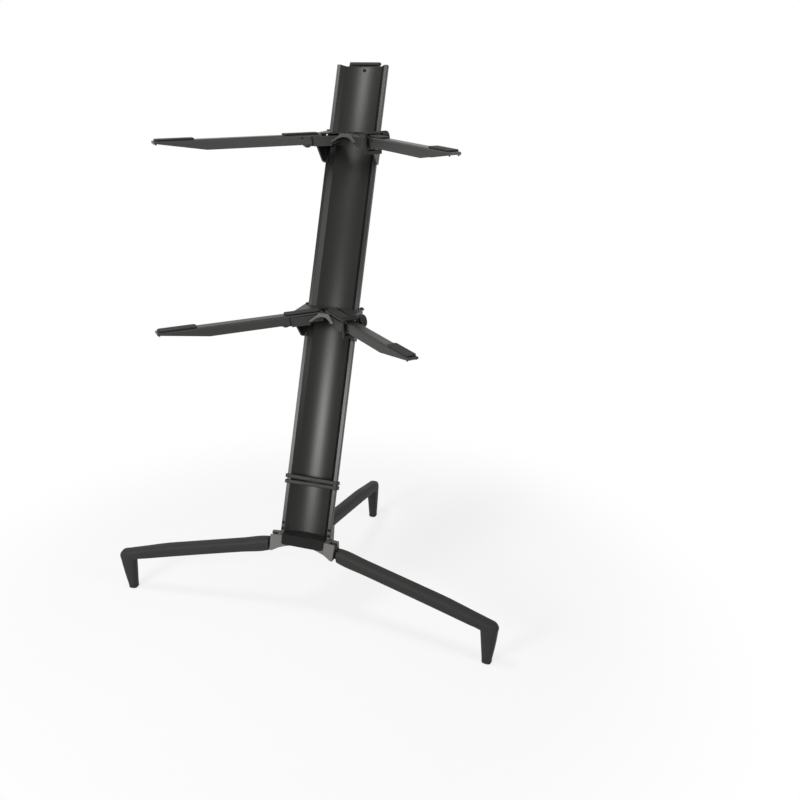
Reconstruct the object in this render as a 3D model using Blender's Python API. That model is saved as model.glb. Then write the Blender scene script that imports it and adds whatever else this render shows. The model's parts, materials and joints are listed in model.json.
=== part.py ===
"""Keyboard stand: a leaning extruded column on a folding tripod foot, with two sliding
carriers that each hold two support arms.

Metres, +Z up, origin on the floor under the point where the leg axes meet, front at -Y.
"""
import math

import bmesh
import bpy
from mathutils import Matrix, Vector

# Fits
SEAT = 0.0003            # gap between pieces that rest on each other
RUNNING = 0.0008         # gap between pieces that slide or turn

# Column, in its own frame: X across, Y depth behind the front face, Z along
COLUMN_LENGTH = 1.300
COLUMN_LEAN = math.radians(23.0)
COLUMN_FOOT_Y = -0.003
COLUMN_FOOT_Z = 0.2364
COLUMN_HALF = 0.0735
FLANGE_WIDTH = 0.0098
RAIL_DEPTH = 0.012
CHANNEL_DROP = 0.0105    # slanted wall between flange and curved back
CHANNEL_RUN = 0.0105     # how far that wall runs inwards
CHANNEL_DEPTH = 0.021    # deepest point of the curved back
COLUMN_WALL = 0.003
END_CORNER = 0.001       # small chamfers along the profile
BAND_SPOTS = (0.144, 0.158)
BAND_WIDTH = 0.008
BAND_THICKNESS = 0.0045
BAND_SHOULDER = 0.030    # where the band leaves the column's curved back
BAND_BULGE = 0.002       # extra thickness behind the flanges
FLANGE_SCREW_RISES = (0.012, 0.028)
FLANGE_SCREW_RADIUS = 0.0036
SHANK_SHARE = 0.55       # a screw hole's radius as a share of its head's
CROWN_SHARE = 0.8        # a screw head's flat top as a share of its radius
RIM_SHARE = 0.7          # and the height where its crown starts
THROUGH = 0.010          # how far cutting shapes pass the surface they cut
FAR = 0.2                # and where they run on through open air
NUDGE = 0.0001           # keeps faces of joined shapes from lying in one plane
SOFT_EDGE = 0.0012       # rounding of moulded edges

# Top end of the column
TAB_HALF = 0.045
TAB_RISE = 0.006
TAB_DROP = 0.024         # the tab's lower end, below the column's end
TAB_THICKNESS = 0.003
BUMPER_HALF = 0.0455
BUMPER_HEIGHT = 0.0078
BUMPER_THICKNESS = 0.0110
BUMPER_ROUND = 0.0045
BUMPER_SETBACK = 0.0023   # its middle, in front of the tab's face
TOP_SCREW_DROP = 0.008
TOP_SCREW_HEAD = 0.0045
TOP_SCREW_SHANK = 0.0020
SCREW_HEAD_RISE = 0.0020

# Foot casting and front plate
WING_REACH = 0.097
WING_TOP = 0.236
WING_BOTTOM = 0.196
WING_FRONT_TOP = 0.0092  # front face, beside the leg's middle plane, at the wing's top
WING_FRONT_BOTTOM = 0.0262
WING_REAR = 0.0160
REAR_WING_HALF = 0.018
PIN_COVER = 0.004        # metal left in front of each hinge pin
HUB_POST_RISE = 0.038    # how far the casting climbs behind the column
HUB_POST_DEPTH = 0.022
HUB_POST_HALF = 0.0700
HUB_POST_FOOT = -0.012   # along the column
HUB_POST_TAPER = 0.6     # its depth at the top as a share of that at its foot
HUB_REAR = 0.034
HUB_FLOOR_RISE = 0.006   # underside above that of the wings
POCKET_FLOOR = 0.232
ARCH_RISE = 0.022        # the casting's lower edge is hollowed this much at the middle
ARCH_MARGIN = 0.025      # beyond the front plate on each side
ARCH_REAR = 0.030
PLATE_HALF = 0.061
PLATE_STAND_OFF = 0.014  # from the column's front face to the plate's back
PLATE_THICKNESS = 0.003
PLATE_TOP = 0.008        # along the column
PLATE_BOTTOM = -0.024
PLATE_CORNER = 0.007

# Legs, in their own frame: X outwards from the hinge pin, Y across, Z up
FRONT_LEG_ANGLE = math.radians(82.7)
PIN_REACH = 0.088
PIN_HEIGHT = 0.2255
PIN_RADIUS = 0.004
TONGUE_THICKNESS = 0.013
TONGUE_RADIUS = 0.0090
LEG_ROOT = 0.103
LEG_WIDTH = 0.036
TIP_HEIGHT = 0.008
LEG_SIDES = 20           # corners of one section
LEG_SQUARENESS = 0.80    # 1 gives an ellipse, less a fuller section
HEEL = 0.014             # the tongue's lower heel, back from the leg's root
HEEL_RISE = 0.012
ROOT_OVERLAP = 0.020     # the tongue runs on this far inside the leg
ROOT_INSET = 0.004
# top or outer edge, bottom or inner edge, each as (reach, height), and share of the width
LEG_STATIONS = (
    ((0.1030, 0.2190), (0.1030, 0.1850), 0.86),
    ((0.1100, 0.2190), (0.1090, 0.1825), 1.00),
    ((0.2650, 0.1893), (0.2620, 0.1530), 1.00),
    ((0.4240, 0.1580), (0.4170, 0.1220), 1.00),
    ((0.5000, 0.1385), (0.4850, 0.1055), 0.98),
    ((0.5400, 0.1285), (0.5100, 0.0975), 0.96),
    ((0.5560, 0.1220), (0.5165, 0.0940), 0.94),
    ((0.5635, 0.1110), (0.5180, 0.0860), 0.92),
    ((0.5635, 0.0960), (0.5190, 0.0740), 0.88),
    ((0.5590, 0.0550), (0.5220, 0.0450), 0.78),
    ((0.5520, 0.0082), (0.5250, 0.0082), 0.68),
)

# Carriers, in their own frame: origin on the column's front face at the deck's top, front at -Y
TIER_HEIGHTS = {"lower": 0.820, "upper": 1.264}
DECK_HALF = COLUMN_HALF + 0.0125
DECK_FRONT = 0.064
DECK_THICKNESS = 0.004
CASTING_DEPTH = 0.0306   # from the deck's top to the floor plate's underside
NOSE_TOP_HALF = 0.013
NOSE_TOP_FRONT = 0.064
NOSE_LOW_HALF = 0.0375
NOSE_LOW_FRONT = 0.0865
NOSE_DEPTH = 0.0185
NOSE_BAND = 0.008        # thickness of the nose at its top
NOSE_LEG_BAND = 0.014    # and at its feet
NOSE_TAPER = 0.6         # its width at the back as a share of that in front
NOSE_ARCH_HALF = 0.026
NOSE_ARCH_HEIGHT = 0.0111
CHEEK_START = 0.0085     # behind the swing pin, at the cheek's top
CHEEK_SLANT = 0.004
CHEEK_END = 0.078
CHEEK_TOP = 0.005        # below the deck
CHEEK_THICKNESS = 0.0030
REAR_STRIP = 0.0055
EAR_REACH = 0.016        # how far the ears pass behind the column's front face
GUSSET_INNER = COLUMN_HALF + 0.002
GUSSET_THICKNESS = 0.0045
GUSSET_DROP = 0.0868
GUSSET_FRONT = 0.060     # front corner, out from the column and down along it
GUSSET_FOOT = 0.011
GUSSET_REAR = EAR_REACH - 0.0075
GUSSET_SHOULDER = (0.007, 0.030)   # its upright rear edge, from and to, below the deck
GUSSET_REAR_FOOT = 0.004
GUSSET_LIP = 0.003       # inward fold beside the column
SHOE_TOP = 0.037
SHOE_THICKNESS = 0.0030
HOOK_HEIGHT = 0.018
HOOK_THICKNESS = 0.008
HOOK_DROP = 0.011        # below the deck, along the column
STEM_RADIUS = 0.0024
STUD_RADIUS = 0.0042
STUD_HEIGHT = 0.003
STUD_INSET = 0.0055      # from the ear's edges
STEM_OVERLAP = 0.008     # the stem runs on this far inside its hook

# Arms, in their own frame: origin on the swing pin at the deck's top, arm towards -Y
SWING_X = 0.093
SWING_FRONT = 0.106
SWING_MIN = math.radians(44.0)
SWING_MAX = math.radians(49.0)
ARM_LENGTH = 0.440
ARM_WIDTH = 0.031
ARM_HEIGHT = 0.026
ARM_WALL = 0.003
ARM_ROUND = 0.005
ARM_TIP_LIP = 0.007
ARM_TIP_CUT = 0.130      # the lower edge starts to rise here
ARM_TIP_FLAT = 0.006
PAD_LENGTH = 0.097
PAD_WIDTH = 0.027
PAD_THICKNESS = 0.004
PAD_CORNER = 0.006
TIP_PAD_START = 0.004
ROOT_PAD_START = ARM_LENGTH - 0.104
PAD_SCREW_RADIUS = 0.0025
PAD_SCREW_HEAD = 0.0012
PAD_SCREW_DROP = 0.0085  # below the arm's top
BLOCK_FRONT = 0.020
BLOCK_BACK = 0.027
PIVOT_RADIUS = 0.004
PIVOT_HEAD_RADIUS = 0.0075
PIVOT_HEAD_THICKNESS = 0.004
PIVOT_TOP_DROP = 0.0125  # the pin's upper end, below the deck
TONGUE_HALF = 0.0115     # half-width of the carrier's tongue under each arm
TONGUE_LENGTH = 0.075
ARM_POSES = {            # swing angle, and length of each arm that passes behind its swing pin
    "lower_left": (math.radians(46.0), 0.1025),
    "lower_right": (math.radians(48.0), 0.1220),
    "upper_left": (math.radians(45.0), 0.0360),
    "upper_right": (math.radians(46.0), 0.0300),
}

# Loop clamp round each right arm
LOOP_LENGTH = 0.011      # along the arm
LOOP_WALL = 0.0055
LOOP_BAR = 0.005
LOOP_FLOOR = 0.045       # underside below the deck
KNOB_RADIUS = 0.017
KNOB_THICKNESS = 0.018
KNOB_CENTRE = 0.0045     # below the deck
KNOB_FACETS = 36


def clear_scene():
    """Remove whatever objects the scene holds."""
    for obj in list(bpy.data.objects):
        bpy.data.objects.remove(obj, do_unlink=True)


def principled(name, color, roughness, metallic):
    """Return a material with one Principled BSDF."""
    material = bpy.data.materials.new(name)
    material.use_nodes = True
    shader = material.node_tree.nodes["Principled BSDF"]
    shader.inputs["Base Color"].default_value = (*color, 1.0)
    shader.inputs["Roughness"].default_value = roughness
    shader.inputs["Metallic"].default_value = metallic
    return material


def add_empty(name, location=(0, 0, 0), rotation=(0, 0, 0), parent=None):
    """Add a frame that pieces hang from."""
    empty = bpy.data.objects.new(name, None)
    empty.location = location
    empty.rotation_euler = rotation
    empty.parent = parent
    bpy.context.scene.collection.objects.link(empty)
    return empty


def add_object(name, shape, material=None, parent=None, smooth=0.0):
    """Turn a bmesh into an object, smooth up to the given angle."""
    bmesh.ops.recalc_face_normals(shape, faces=shape.faces)
    mesh = bpy.data.meshes.new(name)
    shape.to_mesh(mesh)
    shape.free()
    if smooth:
        mesh.shade_smooth()
        mesh.set_sharp_from_angle(angle=smooth)
    obj = bpy.data.objects.new(name, mesh)
    if material:
        mesh.materials.append(material)
    obj.parent = parent
    bpy.context.scene.collection.objects.link(obj)
    return obj


def skin_rings(rings):
    """Close a stack of rings, each with the same number of points, into a solid."""
    shape = bmesh.new()
    loops = [[shape.verts.new(point) for point in ring] for ring in rings]
    count = len(loops[0])
    for low, high in zip(loops, loops[1:]):
        for i in range(count):
            j = (i + 1) % count
            shape.faces.new((low[i], low[j], high[j], high[i]))
    shape.faces.new(tuple(reversed(loops[0])))
    shape.faces.new(tuple(loops[-1]))
    return shape


def prism(outline, start, end, axis="Z"):
    """Extrude a flat outline from start to end along an axis.

    The outline's pairs are (x, y) for Z, (x, z) for Y and (y, z) for X.
    """
    place = {
        "Z": lambda a, b, c: (a, b, c),
        "Y": lambda a, b, c: (a, c, b),
        "X": lambda a, b, c: (c, a, b),
    }[axis]
    rings = [[place(a, b, c) for a, b in outline] for c in (start, end)]
    return skin_rings(rings)


def box(x, y, z):
    """Make a box from three (low, high) pairs."""
    return prism(((x[0], y[0]), (x[1], y[0]), (x[1], y[1]), (x[0], y[1])), z[0], z[1])


def arc(centre, radius, start, end, steps):
    """Return points along a circular arc, both ends included."""
    points = []
    for i in range(steps + 1):
        angle = start + (end - start) * i / steps
        points.append((centre[0] + radius * math.cos(angle), centre[1] + radius * math.sin(angle)))
    return points


def rounded_rectangle(x, y, radius, steps=4):
    """Return the outline of a rectangle with round corners."""
    quarter = math.pi / 2
    corners = ((x[1], y[0], -1), (x[1], y[1], 0), (x[0], y[1], 1), (x[0], y[0], 2))
    points = []
    for cx, cy, turn in corners:
        centre = (cx - math.copysign(radius, cx - x[0] - radius),
                  cy - math.copysign(radius, cy - y[0] - radius))
        points += arc(centre, radius, turn * quarter, (turn + 1) * quarter, steps)
    return points


def circle(centre, radius, steps=16):
    """Return a closed round outline."""
    return arc(centre, radius, 0.0, 2 * math.pi * (steps - 1) / steps, steps - 1)


def bake(obj):
    """Replace an object's mesh by its evaluated mesh and drop its modifiers."""
    bpy.context.view_layer.update()
    depsgraph = bpy.context.evaluated_depsgraph_get()
    mesh = bpy.data.meshes.new_from_object(obj.evaluated_get(depsgraph))
    obj.modifiers.clear()
    obj.data = mesh


def combine(obj, shapes, operation):
    """Join shapes to an object, or cut them from it, all in the object's own frame."""
    for i, shape in enumerate(shapes):
        tool = add_object(f"{obj.name}_{operation.lower()}_{i}", shape, parent=obj.parent)
        tool.matrix_parent_inverse = Matrix()
        tool.location = obj.location
        tool.rotation_euler = obj.rotation_euler
        modifier = obj.modifiers.new("combine", "BOOLEAN")
        modifier.operation = operation
        modifier.object = tool
        bake(obj)
        bpy.data.objects.remove(tool, do_unlink=True)


def bevel(obj, width, segments=2, angle=math.radians(35)):
    """Round an object's edges."""
    modifier = obj.modifiers.new("edges", "BEVEL")
    modifier.width = width
    modifier.segments = segments
    modifier.limit_method = "ANGLE"
    modifier.angle_limit = angle


def mirrored(outline):
    """Return a right-hand outline with its left-hand copy, as one closed outline."""
    return list(outline) + [(-x, y) for x, y in reversed(outline)]


def channel_outline(offset, top):
    """Return the curved channel, from its left lip to its right one, moved back by offset."""
    lip = COLUMN_HALF - FLANGE_WIDTH
    low = lip - CHANNEL_RUN
    sag = CHANNEL_DEPTH - CHANNEL_DROP
    radius = (low * low + sag * sag) / (2 * sag)
    half_angle = math.asin(low / radius)
    centre = (0.0, CHANNEL_DEPTH - radius + offset)
    curve = arc(centre, radius, math.pi / 2 + half_angle, math.pi / 2 - half_angle, 22)
    return [(-lip, top)] + curve + [(lip, top)]


def column_outline():
    """Return the extrusion's outline: flanges, side rails, curved channel and back."""
    back = channel_outline(COLUMN_WALL, RAIL_DEPTH)
    chamfer = 2 * END_CORNER
    outer = [(COLUMN_HALF, RAIL_DEPTH - chamfer), (COLUMN_HALF, END_CORNER), (COLUMN_HALF - END_CORNER, 0.0)]
    return channel_outline(0.0, 0.0) + outer[::-1] + [(COLUMN_HALF - chamfer, RAIL_DEPTH)] + back[::-1] + [
        (-COLUMN_HALF + chamfer, RAIL_DEPTH)] + [(-x, y) for x, y in outer]


def chamber_outline(side):
    """Return the closed hollow inside one side rail, a wall's thickness inside its faces."""
    slant = math.hypot(CHANNEL_RUN, CHANNEL_DROP) / CHANNEL_DROP
    points = []
    for depth in (COLUMN_WALL, RAIL_DEPTH - COLUMN_WALL):
        face = COLUMN_HALF - FLANGE_WIDTH - CHANNEL_RUN * depth / CHANNEL_DROP
        points.append((side * (face + COLUMN_WALL * slant), depth))
    points.append((side * (COLUMN_HALF - COLUMN_WALL), RAIL_DEPTH - COLUMN_WALL))
    points.append((side * (COLUMN_HALF - COLUMN_WALL), COLUMN_WALL))
    return points


def column_envelope(clearance):
    """Return a simple outline that clears the column all round."""
    half = COLUMN_HALF + clearance
    back = [(-x, y + clearance) for x, y in channel_outline(COLUMN_WALL, RAIL_DEPTH)]
    return [(-half, -clearance), (half, -clearance), (half, RAIL_DEPTH + clearance)] + back + [
        (-half, RAIL_DEPTH + clearance)]


def build_column(frame, materials):
    """Column with its bands, flange screws and top end."""
    column = add_object("column", prism(column_outline(), 0.0, COLUMN_LENGTH), materials["column"], frame,
                        math.radians(25))
    chambers = [prism(chamber_outline(side), -THROUGH, COLUMN_LENGTH + THROUGH) for side in (-1, 1)]
    top_hole = circle((0.0, COLUMN_LENGTH - TOP_SCREW_DROP), TOP_SCREW_SHANK + SEAT)
    screw_holes = [prism(top_hole, 0.0, CHANNEL_DEPTH + THROUGH, "Y")]
    for side in (-1, 1):
        for rise in FLANGE_SCREW_RISES:
            centre = (side * flange_screw_x(), rise)
            hole = circle(centre, FLANGE_SCREW_RADIUS * SHANK_SHARE)
            screw_holes.append(prism(hole, -THROUGH, RAIL_DEPTH + THROUGH, "Y"))
    combine(column, chambers + screw_holes, "DIFFERENCE")
    for number, spot in enumerate(BAND_SPOTS):
        build_band(f"rubber_band_{number + 1}", spot, frame, materials)
    build_flange_screws(frame, materials)
    build_top_end(frame, materials)


def flange_screw_x():
    """Return the distance of the flange screws from the column's middle."""
    return COLUMN_HALF - FLANGE_WIDTH / 2


def build_band(name, spot, frame, materials):
    """One rubber band stretched round the column."""
    gap = SEAT
    half = COLUMN_HALF + gap
    deep = CHANNEL_DEPTH + COLUMN_WALL + gap
    loop = mirrored([(BAND_SHOULDER, deep), (half, RAIL_DEPTH + gap), (half, -gap)])
    outer_half = half + BAND_THICKNESS
    outer = mirrored([(BAND_SHOULDER, deep + BAND_THICKNESS), (outer_half, RAIL_DEPTH + gap + BAND_BULGE),
                      (outer_half, -gap - BAND_THICKNESS)])
    low = spot - BAND_WIDTH / 2
    band = add_object(name, prism(outer, low, low + BAND_WIDTH), materials["band"], frame)
    combine(band, [prism(loop, low - THROUGH, low + BAND_WIDTH + THROUGH)], "DIFFERENCE")
    bevel(band, SOFT_EDGE)


def build_flange_screws(frame, materials):
    """Four screws that hold the column's flanges to the foot casting."""
    for side, label in ((-1, "left"), (1, "right")):
        for number, rise in enumerate(FLANGE_SCREW_RISES):
            centre = (side * flange_screw_x(), rise)
            head = circle(centre, FLANGE_SCREW_RADIUS)
            shank = circle(centre, FLANGE_SCREW_RADIUS * SHANK_SHARE - SEAT)
            rings = [[(x, -SEAT - SCREW_HEAD_RISE, z) for x, z in scaled(head, centre, CROWN_SHARE)],
                     [(x, -SEAT - SCREW_HEAD_RISE * RIM_SHARE, z) for x, z in head],
                     [(x, -SEAT, z) for x, z in head],
                     [(x, -SEAT, z) for x, z in shank],
                     [(x, RAIL_DEPTH, z) for x, z in shank]]
            add_object(f"column_screw_{label}_{number + 1}", skin_rings(rings), materials["black"], frame,
                       math.radians(35))


def scaled(outline, centre, factor):
    """Shrink an outline towards a centre."""
    return [(centre[0] + (x - centre[0]) * factor, centre[1] + (y - centre[1]) * factor) for x, y in outline]


def build_top_end(frame, materials):
    """Curved tab, bumper bar and screw at the top of the column."""
    sag = CHANNEL_DEPTH - CHANNEL_DROP
    low = COLUMN_HALF - FLANGE_WIDTH - CHANNEL_RUN
    radius = (low * low + sag * sag) / (2 * sag)
    spread = math.asin(TAB_HALF / radius)
    face = CHANNEL_DEPTH + COLUMN_WALL + SEAT
    outline = arc((0.0, face - radius), radius, math.pi / 2 + spread, math.pi / 2 - spread, 16)
    outline += arc((0.0, face + TAB_THICKNESS - radius), radius, math.pi / 2 - spread, math.pi / 2 + spread, 16)
    top = COLUMN_LENGTH + TAB_RISE
    tab = add_object("top_tab", prism(outline, COLUMN_LENGTH - TAB_DROP, top), materials["column"], frame,
                     math.radians(25))
    screw_rise = COLUMN_LENGTH - TOP_SCREW_DROP
    hole = prism(circle((0.0, screw_rise), TOP_SCREW_SHANK + SEAT), 0.0, face + TAB_THICKNESS + THROUGH, "Y")
    combine(tab, [hole], "DIFFERENCE")
    middle = face - BUMPER_SETBACK
    bar = add_object("top_bumper", prism(rounded_rectangle((-BUMPER_HALF, BUMPER_HALF),
                     (middle - BUMPER_THICKNESS / 2, middle + BUMPER_THICKNESS / 2), BUMPER_ROUND),
                     top + SEAT, top + SEAT + BUMPER_HEIGHT), materials["rubber"], frame, math.radians(35))
    bevel(bar, BUMPER_HEIGHT / 4)
    seat = CHANNEL_DEPTH - SEAT
    head = circle((0.0, screw_rise), TOP_SCREW_HEAD)
    shank = circle((0.0, screw_rise), TOP_SCREW_SHANK)
    rings = [[(x, seat - SCREW_HEAD_RISE, z) for x, z in scaled(head, (0.0, screw_rise), CROWN_SHARE)],
             [(x, seat - SCREW_HEAD_RISE * RIM_SHARE, z) for x, z in head], [(x, seat, z) for x, z in head],
             [(x, seat, z) for x, z in shank], [(x, face + TAB_THICKNESS, z) for x, z in shank]]
    add_object("top_screw", skin_rings(rings), materials["black"], frame, math.radians(35))


def leg_angles():
    """Return each leg's turn about +Z, measured so that zero points the leg to +X."""
    return {
        "left": math.radians(-90) - FRONT_LEG_ANGLE,
        "right": math.radians(-90) + FRONT_LEG_ANGLE,
        "rear": math.radians(90),
    }


def to_column(shape):
    """Move a shape drawn in the column's frame into the world frame."""
    turn = Matrix.Translation((0, COLUMN_FOOT_Y, COLUMN_FOOT_Z)) @ Matrix.Rotation(-COLUMN_LEAN, 4, "X")
    bmesh.ops.transform(shape, matrix=turn, verts=shape.verts)
    return shape


def wing(angle, rear=False):
    """Return one wing of the foot casting, along its leg's direction."""
    side = -1 if math.cos(angle) < -0.5 else 1
    front_top = REAR_WING_HALF if rear else WING_FRONT_TOP
    front_bottom = REAR_WING_HALF if rear else WING_FRONT_BOTTOM
    outline = [(-side * front_top, WING_TOP), (side * WING_REAR, WING_TOP), (side * WING_REAR, WING_BOTTOM),
               (-side * front_bottom, WING_BOTTOM)]
    shape = prism(outline, 0.0, WING_REACH, "X")
    bmesh.ops.rotate(shape, cent=(0, 0, 0), matrix=Matrix.Rotation(angle, 3, "Z"), verts=shape.verts)
    return shape


def pin_ends(name, angle):
    """Return where a hinge pin starts and stops across its wing: blind in front, open behind."""
    side = -1 if math.cos(angle) < -0.5 else 1
    slope = (WING_FRONT_BOTTOM - WING_FRONT_TOP) / (WING_TOP - WING_BOTTOM)
    front = REAR_WING_HALF if name == "rear" else WING_FRONT_TOP + slope * (WING_TOP - PIN_HEIGHT - PIN_RADIUS)
    return -side * (front - PIN_COVER), side * WING_REAR


def fork_cuts(name, angle):
    """Return the slot for the leg's tongue and the bore for its pin."""
    half = TONGUE_THICKNESS / 2 + SEAT
    start = PIN_REACH - TONGUE_RADIUS - RUNNING
    slot = box((start, WING_REACH + THROUGH), (-half, half), (WING_BOTTOM - THROUGH, WING_TOP + THROUGH))
    blind, mouth = pin_ends(name, angle)
    ends = sorted((blind, mouth + math.copysign(THROUGH, mouth)))
    bore = prism(circle((PIN_REACH, PIN_HEIGHT), PIN_RADIUS + SEAT), ends[0], ends[1], "Y")
    cuts = [slot, bore]
    for shape in cuts:
        bmesh.ops.rotate(shape, cent=(0, 0, 0), matrix=Matrix.Rotation(angle, 3, "Z"), verts=shape.verts)
    return cuts


def build_hub(materials):
    """Foot casting with three forked wings, the seat of the column and the front plate."""
    lean = math.tan(COLUMN_LEAN)
    front = PLATE_STAND_OFF - SEAT
    low = WING_BOTTOM + HUB_FLOOR_RISE
    block_front = COLUMN_FOOT_Y - front / math.cos(COLUMN_LEAN)
    profile = [(block_front + (POCKET_FLOOR - COLUMN_FOOT_Z) * lean, POCKET_FLOOR),
               (HUB_REAR, POCKET_FLOOR), (HUB_REAR, low),
               (block_front + (low - COLUMN_FOOT_Z) * lean, low)]
    hub = add_object("hub_casting", prism(profile, -PLATE_HALF, PLATE_HALF, "X"), materials["casting"], None,
                     math.radians(30))
    post_front = RAIL_DEPTH / 2
    post = to_column(prism([(post_front, HUB_POST_FOOT), (CHANNEL_DEPTH + HUB_POST_DEPTH, HUB_POST_FOOT),
                            (CHANNEL_DEPTH + HUB_POST_DEPTH * HUB_POST_TAPER, HUB_POST_RISE),
                            (post_front, HUB_POST_RISE)], -HUB_POST_HALF, HUB_POST_HALF, "X"))
    angles = leg_angles()
    wings = [wing(angle, name == "rear") for name, angle in angles.items()]
    combine(hub, [post] + wings, "UNION")
    seat = to_column(prism(column_envelope(SEAT), -SEAT, HUB_POST_RISE + THROUGH))
    screw_holes = []
    for side in (-1, 1):
        for rise in FLANGE_SCREW_RISES:
            hole = prism(circle((side * flange_screw_x(), rise), FLANGE_SCREW_RADIUS * SHANK_SHARE),
                         -THROUGH, RAIL_DEPTH + THROUGH / 4, "Y")
            screw_holes.append(to_column(hole))
    span = PLATE_HALF + ARCH_MARGIN
    radius = (span * span + ARCH_RISE * ARCH_RISE) / (2 * ARCH_RISE)
    arch = prism(circle((0.0, WING_BOTTOM + ARCH_RISE - radius), radius, 96), -FAR, ARCH_REAR, "Y")
    recess = to_column(prism(plate_outline(SEAT), -FAR, -PLATE_STAND_OFF + SEAT, "Y"))
    pocket_half = COLUMN_HALF + THROUGH
    pocket = to_column(box((-pocket_half, pocket_half), (-FAR, 0.0), (SEAT, FAR)))
    cuts = [seat, arch, recess, pocket] + screw_holes
    for name, angle in angles.items():
        cuts += fork_cuts(name, angle)
    combine(hub, cuts, "DIFFERENCE")
    build_front_plate(materials)


def plate_outline(clearance):
    """Return the front plate's outline, square at the top and rounded below."""
    half = PLATE_HALF + clearance
    low = PLATE_BOTTOM - clearance
    corner = PLATE_CORNER
    right = [(half, PLATE_TOP + clearance)] + arc((half - corner, low + corner), corner, 0.0, -math.pi / 2, 5)
    return right + [(-x, z) for x, z in reversed(right)]


def build_front_plate(materials):
    """Dark plate across the front of the foot casting."""
    shape = to_column(prism(plate_outline(0.0), -PLATE_STAND_OFF - PLATE_THICKNESS, -PLATE_STAND_OFF, "Y"))
    plate = add_object("front_plate", shape, materials["plate"], None)
    bevel(plate, 0.0008, 1)


def leg_ring(station):
    """Return the points of one section of a leg."""
    (top_x, top_z), (low_x, low_z), share = station
    middle = Vector(((top_x + low_x) / 2 - PIN_REACH, 0.0, (top_z + low_z) / 2 - PIN_HEIGHT))
    half = Vector(((top_x - low_x) / 2, 0.0, (top_z - low_z) / 2))
    across = Vector((0.0, LEG_WIDTH / 2 * share, 0.0))
    points = []
    for i in range(LEG_SIDES):
        angle = 2 * math.pi * i / LEG_SIDES
        c = math.cos(angle)
        s = math.sin(angle)
        up = math.copysign(abs(c) ** LEG_SQUARENESS, c)
        side = math.copysign(abs(s) ** LEG_SQUARENESS, s)
        points.append(middle + half * up + across * side)
    return points


def build_leg(name, angle, materials):
    """One moulded leg with its rubber tip and hinge pin, turning about the pin."""
    direction = Vector((math.cos(angle), math.sin(angle), 0.0))
    frame = add_empty(f"{name}_leg_hinge", direction * PIN_REACH + Vector((0, 0, PIN_HEIGHT)), (0, 0, angle))
    leg = add_object(f"{name}_leg", skin_rings([leg_ring(s) for s in LEG_STATIONS]), materials["leg"], frame,
                     math.radians(40))
    half = TONGUE_THICKNESS / 2
    reach = LEG_ROOT - PIN_REACH
    deep = LEG_STATIONS[0][1][1] - PIN_HEIGHT
    high = LEG_STATIONS[0][0][1] - PIN_HEIGHT
    outline = arc((0.0, 0.0), TONGUE_RADIUS, math.radians(60), math.radians(200), 12)
    outline += [(reach - HEEL, deep + HEEL_RISE), (reach - ROOT_INSET, deep + ROOT_INSET),
                (reach + ROOT_OVERLAP, deep + ROOT_INSET), (reach + ROOT_OVERLAP, high - ROOT_INSET * 1.5),
                (reach - ROOT_INSET / 2, high - ROOT_INSET / 2)]
    combine(leg, [prism(outline, -half, half, "Y")], "UNION")
    combine(leg, [prism(circle((0.0, 0.0), PIN_RADIUS + SEAT), -FAR, FAR, "Y")], "DIFFERENCE")
    build_leg_tip(name, frame, materials)
    build_leg_pin(name, angle, materials)


def build_leg_tip(name, frame, materials):
    """Rubber tip under a leg's foot."""
    station = LEG_STATIONS[-1]
    middle = (station[0][0] + station[1][0]) / 2 - PIN_REACH
    rings = []
    for height, share in ((0.0, 0.80), (0.0018, 0.97), (TIP_HEIGHT - SEAT, 1.0)):
        ring = []
        for x, y, z in leg_ring(station):
            ring.append((middle + (x - middle) * share, y * share, height - PIN_HEIGHT))
        rings.append(ring)
    add_object(f"{name}_leg_tip", skin_rings(rings), materials["rubber"], frame, math.radians(40))


def build_leg_pin(name, angle, materials):
    """Hinge pin pushed into the fork from behind, its end just inside the wing's rear face."""
    blind, mouth = pin_ends(name, angle)
    ends = sorted((blind - math.copysign(SEAT, blind), mouth - math.copysign(SEAT, mouth)))
    centre = (PIN_REACH, PIN_HEIGHT)
    body = prism(circle(centre, PIN_RADIUS), ends[0], ends[1], "Y")
    bmesh.ops.rotate(body, cent=(0, 0, 0), matrix=Matrix.Rotation(angle, 3, "Z"), verts=body.verts)
    add_object(f"{name}_leg_pin", body, materials["steel"], None, math.radians(35))


def carrier_origin(tier):
    """Return where a carrier's frame meets the column's front face."""
    height = TIER_HEIGHTS[tier]
    return Vector((0.0, COLUMN_FOOT_Y + (height - COLUMN_FOOT_Z) * math.tan(COLUMN_LEAN), height))


def swing_opening(side):
    """Return the outline that an arm sweeps in the deck, root end included."""
    half = ARM_WIDTH / 2 + RUNNING * 2
    back = max(tail for _, tail in ARM_POSES.values()) + RUNNING * 3
    points = []
    for angle, along, across in ((SWING_MAX, SWING_FRONT, 1), (SWING_MAX, -back, 1), (SWING_MAX, -back, -1),
                                 (SWING_MIN, -back, -1), (SWING_MIN, SWING_FRONT, -1)):
        forward = Vector((math.sin(angle), -math.cos(angle)))
        inner = Vector((-math.cos(angle), -math.sin(angle)))
        point = Vector((SWING_X, -SWING_FRONT)) + forward * along + inner * across * half
        points.append((side * point.x, point.y))
    return points


def beside_arm(side, along, offset):
    """Return a point measured from a swing pin along the furthest swing and in front of it."""
    forward = Vector((math.sin(SWING_MAX), -math.cos(SWING_MAX)))
    inner = Vector((-math.cos(SWING_MAX), -math.sin(SWING_MAX)))
    point = Vector((SWING_X, -SWING_FRONT)) + forward * along + inner * offset
    return side * point.x, point.y


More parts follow.
